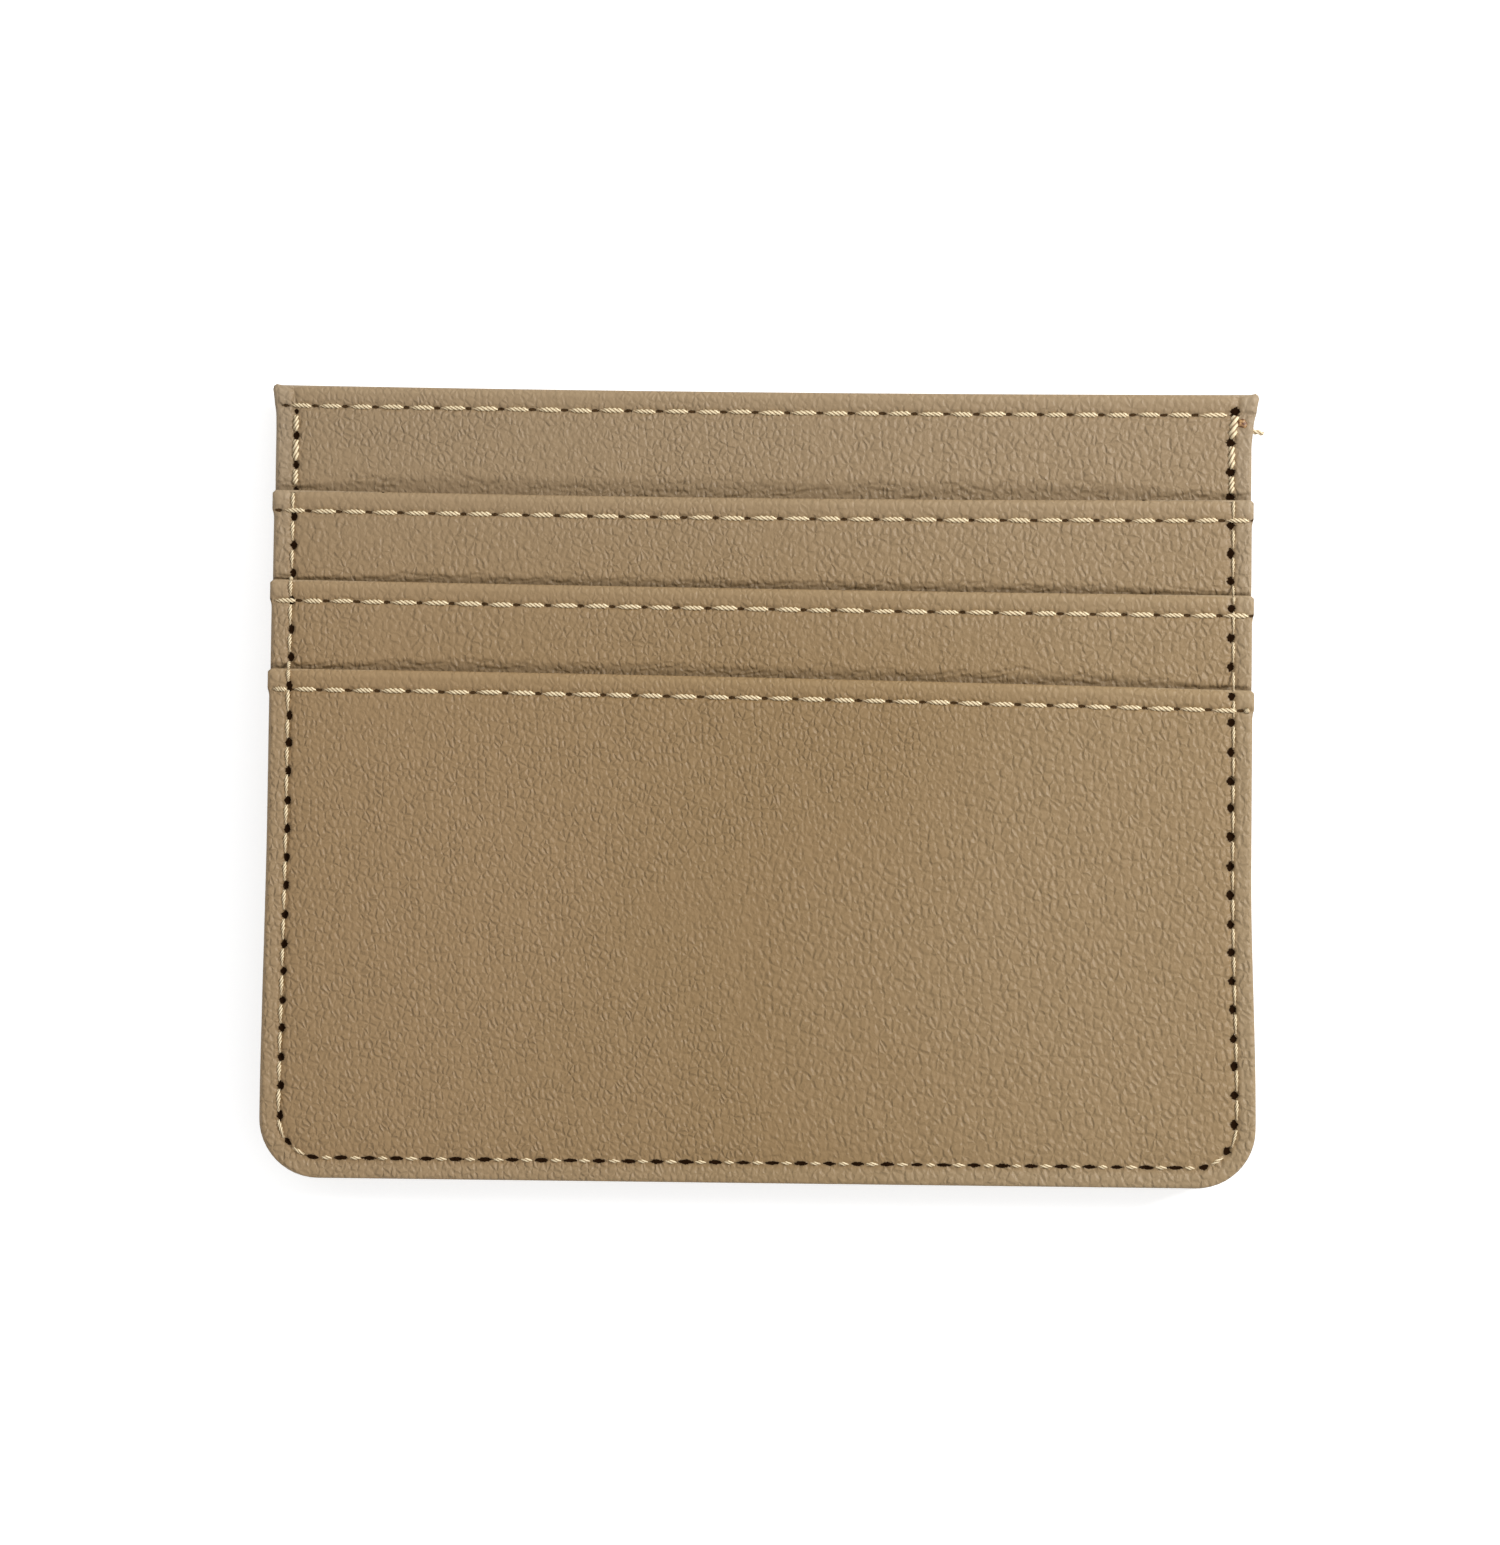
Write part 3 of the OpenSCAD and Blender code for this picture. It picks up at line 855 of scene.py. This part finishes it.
def seam_point(m, seam, side, s, out):
    """Point of the seam thread's middle, s along the seam and out from its line"""
    x, y = seam.point(s)
    z = outer_level(m, side, np.array(x), y) - OUTWARD[side] * SEAM_SINK
    x = float(m.draw_in(np.array(x), np.array(y)))
    return [x + math.copysign(out, x), y + BOTTOM_Y, z]


def seam_stitch(m, seam, i):
    """Kind and thickness factor of the seam's i-th stitch, and whether it runs up the right side"""
    x, y = np.array([seam.point((seam.holes[i] + seam.holes[i + 1]) / 2)]).T
    by_base = float(seam.locate(x, y)[2][0]) > 0.5
    right = bool(x[0] > 0)
    to_end = len(seam.holes) - 2 - i
    if to_end < len(RIGHT_TACK_FULLNESS):
        return "tack_stitch", RIGHT_TACK_FULLNESS[-1 - to_end], right
    if i < len(m.tack_left):
        return "tack_stitch", 1.0, right
    if by_base:
        return "base_stitch", 1.0, False
    return "side_stitch", 0.78 if right else 1.0, right


def over_fold(m, side, start, stop, thick):
    """Splits a stitch that climbs over a folded edge in two, at the crown of the fold"""
    outward = OUTWARD[side]
    high, low = (start, stop) if outward * (start[2] - stop[2]) > 0 else (stop, start)
    level = [k for k in LEVELS if abs(outer_z(side, k) - high[2]) < 0.3][0]
    crown_y = edge_height(level) - float(m.sag(level, np.array(high[0]), side)) + BOTTOM_Y - 0.2
    crown = [high[0] + (low[0] - high[0]) * 0.5, crown_y, high[2] + outward * 0.05]
    yield (crown, low, 0.9 * thick) if low is stop else (low, crown, 0.9 * thick)
    if abs(crown_y - high[1]) > 0.6:
        yield (high, crown, thick) if high is start else (crown, high, thick)


def perimeter_seam(m, side, node):
    """The seam round three sides, as it shows on one face"""
    seam = Seam(m)
    groups = {kind: [] for kind in SEAM_GAPS}
    for i in range(len(seam.holes) - 1):
        kind, thick, upward = seam_stitch(m, seam, i)
        gap = SEAM_GAPS[kind]
        out = 0.14 if kind == "side_stitch" else 0.0
        start = seam_point(m, seam, side, seam.holes[i] + gap, out)
        stop = seam_point(m, seam, side, seam.holes[i + 1] - gap, out)
        if upward:
            start, stop = stop, start
        if start[2] == stop[2]:
            groups[kind].append((start, stop, thick))
        else:
            groups[kind].extend(over_fold(m, side, start, stop, thick))
    for kind, ends in groups.items():
        lay_stitches(f"{node}_{kind}", node, ends, OUTWARD[side], bpy.data.objects[kind], 47)


def thread_ends(m):
    """The seam thread's ends at the right tack: one melted down beside it, one poking out at the edge"""
    top = node_box("front_panel")[1]
    x, y = HALF_W - 1.56, top[1] - 2.9
    rings, around = 5, 12
    s = np.linspace(1, 0.12, rings)[:, None]
    a = 2 * np.pi * np.arange(around) / around
    lump = 1 + 0.16 * np.cos(2 * a + 0.6) + 0.1 * np.cos(3 * a + 2) + 0.05 * np.cos(5 * a)
    dome = 0.16 * np.sqrt(1 - s**2) * (1 + 0.25 * np.cos(3 * a + 5 * s))
    out_x, out_y = 0.46 * s * lump * np.cos(a), 0.54 * s * lump * np.sin(a)
    points = np.stack([x + out_x, y + out_y, top[2] - 0.1 + dome], axis=2)
    mesh = new_mesh("melted_end", points, [f[::-1] for f in ring_walls(rings, around)])
    new_piece("melted_thread_end", mesh, "seam_needle_thread", melted_thread())
    below = top[2] - m.leather - 0.25
    tail = [((HALF_W - 1.2, y - 0.55, below), (HALF_W + 0.72, y - 0.92, below), 0.9)]
    lay_stitches("poking_thread_end", "seam_needle_thread", tail, 1, bpy.data.objects["tack_stitch"], 5)


# ---- materials ----

# How far the leather's grain rises, in metres
GRAIN_RISE = 0.00011
# Cells of the grain along a millimetre, where the pebbles are large, common and split up
LARGE_PEBBLES, PEBBLES, SPLIT_PEBBLES = 1.08, 1.32, 2.6
# Half the length, in stitches, and half the width of a row's needle slit, and how far in it lies
ROW_SLIT = (0.14, 0.16, 0.0)
# How square the corners of a seam's and a row's needle holes are
SEAM_HOLE_POWER, ROW_SLIT_POWER = 1.5, 1.6


class Graph:
    """The node tree of one new material, with short ways to add and join nodes"""

    def __init__(self, name):
        self.material = bpy.data.materials.new(name)
        self.material.use_nodes = True
        tree = self.material.node_tree
        self.nodes, self.link = tree.nodes, tree.links.new
        self.shader = tree.nodes["Principled BSDF"]

    def add(self, kind, **values):
        """A shader node; a key is one of its settings, or else one of its inputs"""
        node = self.nodes.new("ShaderNode" + kind)
        for key, value in values.items():
            if hasattr(node, key):
                setattr(node, key, value)
            else:
                feed(self.link, value, node.inputs[key])
        return node

    def place(self):
        return self.add("TexCoord").outputs["Object"]

    def speckle(self, scale, detail, roughness=0.5):
        """Noise that is fixed in the holder, this fine to the metre"""
        settings = {"Scale": scale, "Detail": detail, "Roughness": roughness}
        return self.add("TexNoise", **settings, Vector=self.place()).outputs["Fac"]

    def stored(self, name, output="Fac"):
        return self.add("Attribute", attribute_name=name).outputs[output]

    def split(self, vector):
        return self.add("SeparateXYZ", Vector=vector).outputs

    def math(self, operation, *parts, clamp=False, kind="Math", **values):
        node = self.add(kind, operation=operation, **values)
        if clamp:
            node.use_clamp = True
        for socket, part in zip(node.inputs, parts):
            feed(self.link, part, socket)
        return node.outputs[0]

    def add_up(self, *parts):
        return functools.reduce(lambda a, b: self.math("ADD", a, b), parts)

    def times(self, *parts):
        return functools.reduce(lambda a, b: self.math("MULTIPLY", a, b), parts)

    def less(self, a, b):
        return self.math("SUBTRACT", a, b)

    def ramp(self, value, low, high, out_low=0.0, out_high=1.0):
        """A smooth rise or fall between two values"""
        ends = {"From Min": low, "From Max": high, "To Min": out_low, "To Max": out_high}
        return self.add("MapRange", interpolation_type="SMOOTHSTEP", Value=value, **ends).outputs["Result"]

    def mix(self, factor, a, b, blend="MIX"):
        node = self.add("Mix", data_type="RGBA", blend_type=blend)
        for socket, value in ((node.inputs[0], factor), (node.inputs[6], a), (node.inputs[7], b)):
            feed(self.link, value, socket)
        return node.outputs[2]

    def finish(self, tone, roughness, height, distance, strength=1.0):
        """Joins a colour, a roughness and a bump to the material's shader"""
        bump = self.add("Bump", Strength=strength, Distance=distance, Height=height)
        feed(self.link, tone, self.shader.inputs["Base Color"])
        feed(self.link, roughness, self.shader.inputs["Roughness"])
        self.link(bump.outputs["Normal"], self.shader.inputs["Normal"])


def made_once(fill):
    """Turns a function that fills a graph into one that gives its material, made when first asked for"""

    @functools.wraps(fill)
    def give():
        name = fill.__name__
        if name not in bpy.data.materials:
            fill(Graph(name), bpy.context.scene.card_holder_colours)
        return bpy.data.materials[name]

    return give


def scaled(colour_value, factor):
    """A colour made lighter or darker by a factor"""
    return tuple(c * factor for c in tuple(colour_value)[:3]) + (1,)


def hole_mask(g, line, half_length, half_width, inward, rough, power):
    """Shape of the needle holes of a stitch line: above 0 inside a hole, falling outwards"""
    count, across, _ = g.split(line)
    part = g.math("FRACT", g.add_up(count, 0.5))
    away = g.math("ABSOLUTE", g.less(part, 0.5))
    along = g.math("DIVIDE", away, half_length)
    aside = g.math("DIVIDE", g.math("ABSOLUTE", g.add_up(across, inward)), half_width)
    total = g.add_up(g.math("POWER", along, power), g.math("POWER", aside, power))
    inside = g.less(1.0, g.math("POWER", total, 1 / power))
    return g.add_up(inside, rough)


def pebbles(g, flat, broad, place_x):
    """Height of the pebbled grain, a mask of its grooves for their painted shade, and its finest noise"""

    def noise(scale, detail=2.0, roughness=0.5):
        settings = {"noise_dimensions": "2D", "Scale": scale, "Detail": detail, "Roughness": roughness}
        return g.add("TexNoise", **settings, Vector=flat).outputs

    swerve = noise(0.75, 2.0, 0.6)["Color"]
    bent = g.math("MULTIPLY_ADD", swerve, (0.5, 0.5, 0), flat, kind="VectorMath")
    turn = (0, 0, math.radians(-6))
    squeezed = g.add("Mapping", Scale=(1.1, 0.88, 1), Rotation=turn, Vector=bent).outputs["Vector"]

    def cells(scale):
        """Distance from the borders of cells, this many to the millimetre"""
        settings = {"voronoi_dimensions": "2D", "feature": "DISTANCE_TO_EDGE", "Randomness": 0.9}
        return g.add("TexVoronoi", **settings, Scale=scale, Vector=squeezed).outputs["Distance"]

    def blend(factor, a, b):
        return g.add_up(a, g.times(factor, g.less(b, a)))

    coarse = g.ramp(g.add_up(broad, g.ramp(place_x, -0.01, 0.04, 0.0, 0.22)), 0.48, 0.66)
    wide, narrow = cells(LARGE_PEBBLES), cells(PEBBLES)
    pebble = blend(coarse, g.ramp(narrow, 0.0, 0.36), g.ramp(wide, 0.0, 0.36))
    groove = blend(coarse, g.ramp(narrow, 0.0, 0.17, 1.0, 0.0), g.ramp(wide, 0.0, 0.13, 1.0, 0.0))
    strength = g.ramp(noise(0.5)["Fac"], 0.32, 0.66, 0.55, 1.0)
    merge = g.ramp(noise(1.1)["Fac"], 0.38, 0.62)
    fine = noise(4.0, 3.0, 0.6)["Fac"]
    split_up = g.times(g.ramp(cells(SPLIT_PEBBLES), 0.0, 0.42), g.times(merge, 0.16))
    waves = g.times(noise(1.15, 1.0)["Fac"], 0.9)
    height = g.add_up(g.times(pebble, strength), split_up, g.times(fine, 0.05), waves)
    return height, g.times(groove, strength), fine


def leather_tone(g, colours, place, broad, lifts):
    """The leather's colour: warmer on the left and greyer by the mouth, with painted light on the right,
    nearer the key light, and the given lifts
    """
    drift = g.times(g.less(broad, 0.5), 0.05)
    across = g.add_up(place["X"], drift)
    to_middle = g.ramp(across, -0.036, -0.004)
    # Painted light: the right side is lighter, as it lies nearer the key light
    lit_right = g.ramp(across, 0.002, 0.036)
    to_mouth = g.ramp(place["Y"], 0.005, 0.041, 0.0, 0.9)
    tone = g.mix(to_middle, tuple(colours.leather_warm), tuple(colours.leather))
    tone = g.mix(lit_right, tone, tuple(colours.lit_right_leather))
    tone = g.mix(to_mouth, tone, tuple(colours.leather_grey))
    for factor, lighter in lifts:
        tone = g.mix(factor, tone, (*lighter, 1), "MULTIPLY")
    return tone


@made_once
def pebbled_leather(g, colours):
    """Matte imitation leather with a pebbled grain. Painted shade darkens its grain grooves and its tucks,
    painted shade and the black lining behind darken its needle holes, and painted highlights lighten its
    hems, its folds and its right side
    """
    cut = g.add("UVMap", uv_map="cut").outputs["UV"]
    flat = g.math("SCALE", cut, kind="VectorMath", Scale=1 / MM)
    broad = g.speckle(30.0, 2.0)
    place = g.split(g.place())
    height, groove, fine = pebbles(g, flat, broad, place["X"])

    seam_line, row_line = g.stored("seam_line", "Vector"), g.stored("row_line", "Vector")
    hole_size = g.split(g.stored("seam_hole", "Vector"))
    ragged = g.less(fine, 0.5)
    seam_hole = hole_mask(g, seam_line, *hole_size, ragged, SEAM_HOLE_POWER)
    row_hole = hole_mask(g, row_line, *ROW_SLIT, ragged, ROW_SLIT_POWER)
    row_slit = g.ramp(row_hole, -0.06, 0.2, 0.0, 0.94)
    seam_slit = g.ramp(seam_hole, -0.06, 0.16)
    slit = g.math("MAXIMUM", seam_slit, row_slit)
    # Darker round each needle hole
    hole_halo = g.ramp(g.math("MAXIMUM", seam_hole, row_hole), -0.8, 0.0, 0.0, 0.4)

    seam_at, row_at = g.split(seam_line), g.split(row_line)
    rim = g.ramp(seam_at["Y"], 0.1, 0.8)
    # The hem and fold lifts are painted highlights on the hem and along the rounded fold
    hem = g.ramp(row_at["Y"], 0.1, 1.2)
    fold = g.ramp(row_at["Y"], 1.15, 1.6)
    # The painted shade of the tucks, from the seam line's third number
    tuck_shade = g.math("MULTIPLY", seam_at["Z"], 1.0, clamp=True)
    lifts = ((rim, colours.rim_lift), (hem, colours.hem_highlight), (fold, colours.fold_highlight))
    tone = leather_tone(g, colours, place, broad, lifts)
    dark = scaled(colours.leather, 0.5)
    # Painted shade in the grain's grooves and in the tucks, and a darker halo round each needle hole
    for factor in (g.times(groove, 0.08), tuck_shade, hole_halo):
        tone = g.mix(factor, tone, dark)
    # Painted shade inside the needle slits and holes, with the black linings seen through them
    tone = g.mix(row_slit, tone, tuple(colours.row_hole))
    tone = g.mix(seam_slit, tone, tuple(colours.needle_hole))

    roughness = g.math("ADD", g.ramp(fine, 0.3, 0.7, 0.44, 0.54), g.times(slit, 0.3), clamp=True)
    g.link(g.times(g.less(1.0, slit), 0.32), g.shader.inputs["Specular IOR Level"])
    g.finish(tone, roughness, g.less(height, slit), GRAIN_RISE, g.less(1.0, g.times(hem, 0.4)))


@made_once
def woven_lining(g, colours):
    """Black plain-woven lining"""
    settings = {"wave_type": "BANDS", "Scale": 1250.0, "Distortion": 0.4, "Vector": g.place()}
    warp, weft = (g.add("TexWave", bands_direction=way, **settings).outputs["Fac"] for way in "XY")
    weave = g.times(warp, weft)
    g.finish(g.mix(weave, tuple(colours.lining), scaled(colours.lining, 2.2)), 0.75, weave, 0.00004)


@made_once
def fibre_board(g, colours):
    """Dark pressed-fibre backing board"""
    fibre = g.speckle(2200.0, 4.0, 0.7)
    g.finish(g.mix(fibre, tuple(colours.board), scaled(colours.board, 1.9)), 0.9, fibre, 0.00003)


@made_once
def cream_thread(g, colours):
    """Cream polyester thread with fine fibres, and painted shade between its plies and where it sinks in"""
    fibre = g.speckle(4200.0, 3.0, 0.6)
    dull = g.ramp(fibre, 0.35, 0.65, 0.16, 0.0)
    between = g.ramp(g.stored("groove"), 0.45, 1.0)
    tone = tuple(colours.thread)
    # Fibres are duller at random, and the grooves between the plies and the sunk ends get painted shade
    for factor in (dull, between, g.times(g.stored("sunk"), 0.7)):
        tone = g.mix(factor, tone, tuple(colours.thread_dull_and_shade))
    g.finish(tone, 0.5, fibre, 0.00003)


@made_once
def melted_thread(g, colours):
    """Thread melted to an amber lump"""
    clots = g.speckle(3500.0, 2.0)
    tone = g.mix(g.ramp(clots, 0.4, 0.62), tuple(colours.melted_dark), tuple(colours.melted))
    g.finish(tone, 0.4, clots, 0.00005)


@made_once
def white_floor(g, colours):
    """Plain white floor: it shows white to the camera and keeps the holder's shadow"""
    plain = g.shader.outputs["BSDF"]
    for name, value in (("Base Color", (0.8, 0.8, 0.8, 1)), ("Roughness", 1.0), ("Specular IOR Level", 0.0)):
        g.shader.inputs[name].default_value = value
    both = g.add("AddShader")
    g.link(plain, both.inputs[0])
    g.link(g.add("Emission", Strength=0.6).outputs["Emission"], both.inputs[1])
    rays = g.add("LightPath").outputs
    seen = g.math("MAXIMUM", rays["Is Camera Ray"], rays["Is Glossy Ray"])
    choose = g.add("MixShader", Fac=g.math("MAXIMUM", seen, rays["Is Transmission Ray"]))
    g.link(plain, choose.inputs[1])
    g.link(both.outputs["Shader"], choose.inputs[2])
    g.link(choose.outputs["Shader"], g.nodes["Material Output"].inputs["Surface"])


# ---- operators ----


def refinish(node, finish):
    """Gives a CAD node that stays in the holder its own finish"""
    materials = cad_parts[node].data.materials
    materials.clear()
    materials.append(finish)


class CARDHOLDER_OT_leather(Operator):
    """Builds the panels and pockets of both halves as folded leather"""

    bl_idname = "cardholder.leather"
    bl_label = "Leather"

    def execute(self, context):
        m = Measures()
        for side in SIDES:
            for level in LEVELS:
                leather_sheet(m, side, level)
        return {"FINISHED"}


class CARDHOLDER_OT_linings(Operator):
    """Builds the woven linings of the pockets and of the centre pocket"""

    bl_idname = "cardholder.linings"
    bl_label = "Linings"

    def execute(self, context):
        m = Measures()
        for side in SIDES:
            for name in ("lining", "upper_lining", "middle_lining", "lower_lining"):
                lining_sheet(m, f"{side}_{name}")
        return {"FINISHED"}


class CARDHOLDER_OT_boards(Operator):
    """Gives the backing boards their fibre finish"""

    bl_idname = "cardholder.boards"
    bl_label = "Backing boards"

    def execute(self, context):
        for side in SIDES:
            refinish(f"{side}_board", fibre_board())
        return {"FINISHED"}


class CARDHOLDER_OT_threads(Operator):
    """Sews the edge rows and the perimeter seam"""

    bl_idname = "cardholder.threads"
    bl_label = "Threads"

    def execute(self, context):
        m = Measures()
        stitches = [
            stitch_body("row_stitch", ROW_STITCH, m.row_thread, 1.7, row_form),
            stitch_body("side_stitch", SEAM_STITCH, m.seam_thread, 1.5, side_form),
            stitch_body("base_stitch", SEAM_STITCH / 2, m.seam_thread, 0.8, base_form, 9),
            stitch_body("tack_stitch", SEAM_STITCH, m.tack_thread, 1.0, tack_form),
        ]
        for side in SIDES:
            for level in LEVELS:
                edge_row(m, side, level)
        perimeter_seam(m, "front", "seam_needle_thread")
        perimeter_seam(m, "rear", "seam_bobbin_thread")
        thread_ends(m)
        for side in SIDES:
            for name in ("upper", "middle"):
                refinish(f"{side}_{name}_base_thread", cream_thread())
        for stitch in stitches:
            bpy.data.objects.remove(stitch)
        return {"FINISHED"}


class CARDHOLDER_OT_stage(Operator):
    """Sets the floor, the lights and the camera"""

    bl_idname = "cardholder.stage"
    bl_label = "Stage"

    def execute(self, context):
        scene = context.scene
        settings = scene.card_holder_stage
        reach = settings.floor_size / 2
        corners = [(-reach, -reach, 0), (reach, -reach, 0), (reach, reach, 0), (-reach, reach, 0)]
        floor_mesh = bpy.data.meshes.new("floor")
        floor_mesh.from_pydata(corners, [], [(0, 1, 2, 3)])
        floor_mesh.materials.append(white_floor())
        new_object("floor", floor_mesh)

        world = bpy.data.worlds.new("even_light")
        world.use_nodes = True
        background = world.node_tree.nodes["Background"]
        background.inputs["Color"].default_value = (1, 1, 1, 1)
        background.inputs["Strength"].default_value = settings.sky
        scene.world = world

        key = bpy.data.lights.new("key", "AREA")
        key.energy = settings.key_power
        key.shape = "RECTANGLE"
        key.size = key.size_y = settings.key_size
        lamp = new_object("key", key)
        lamp.location = settings.key_place
        lamp.rotation_euler = (-lamp.location).to_track_quat("-Z", "Y").to_euler()

        eye = bpy.data.cameras.new("eye")
        eye.lens = settings.camera_lens
        eye.sensor_fit = "HORIZONTAL"
        eye.sensor_width = 36
        eye.clip_start, eye.clip_end = 0.01, 10
        camera = new_object("eye", eye)
        camera.location = settings.camera_place
        camera.rotation_euler = settings.camera_turn
        scene.camera = camera
        scene.view_settings.view_transform = "Standard"
        return {"FINISHED"}


class CARDHOLDER_PT_panel(Panel):
    """Lists the holder's settings and operators"""

    bl_idname = "CARDHOLDER_PT_panel"
    bl_label = "Card holder"
    bl_space_type = "VIEW_3D"
    bl_region_type = "UI"
    bl_category = "Card holder"

    def draw(self, context):
        for group in SETTINGS:
            settings = getattr(context.scene, group)
            for key in settings.__annotations__:
                self.layout.prop(settings, key)
        for operator in OPERATORS:
            self.layout.operator(operator.bl_idname)


SETTINGS = {
    "card_holder_sizes": HolderSizes,
    "card_holder_shape": HolderShape,
    "card_holder_colours": HolderColours,
    "card_holder_stage": StageSettings,
}
OPERATORS = (
    CARDHOLDER_OT_leather,
    CARDHOLDER_OT_linings,
    CARDHOLDER_OT_boards,
    CARDHOLDER_OT_threads,
    CARDHOLDER_OT_stage,
)


def register():
    for kind in (*SETTINGS.values(), *OPERATORS, CARDHOLDER_PT_panel):
        bpy.utils.register_class(kind)
    for name, kind in SETTINGS.items():
        setattr(bpy.types.Scene, name, PointerProperty(type=kind))


def unregister():
    for name in SETTINGS:
        delattr(bpy.types.Scene, name)
    for kind in reversed((*SETTINGS.values(), *OPERATORS, CARDHOLDER_PT_panel)):
        bpy.utils.unregister_class(kind)


def main():
    register()
    bpy.ops.cardholder.leather()
    bpy.ops.cardholder.linings()
    bpy.ops.cardholder.boards()
    bpy.ops.cardholder.threads()
    bpy.ops.cardholder.stage()


if __name__ == "__main__":
    main()
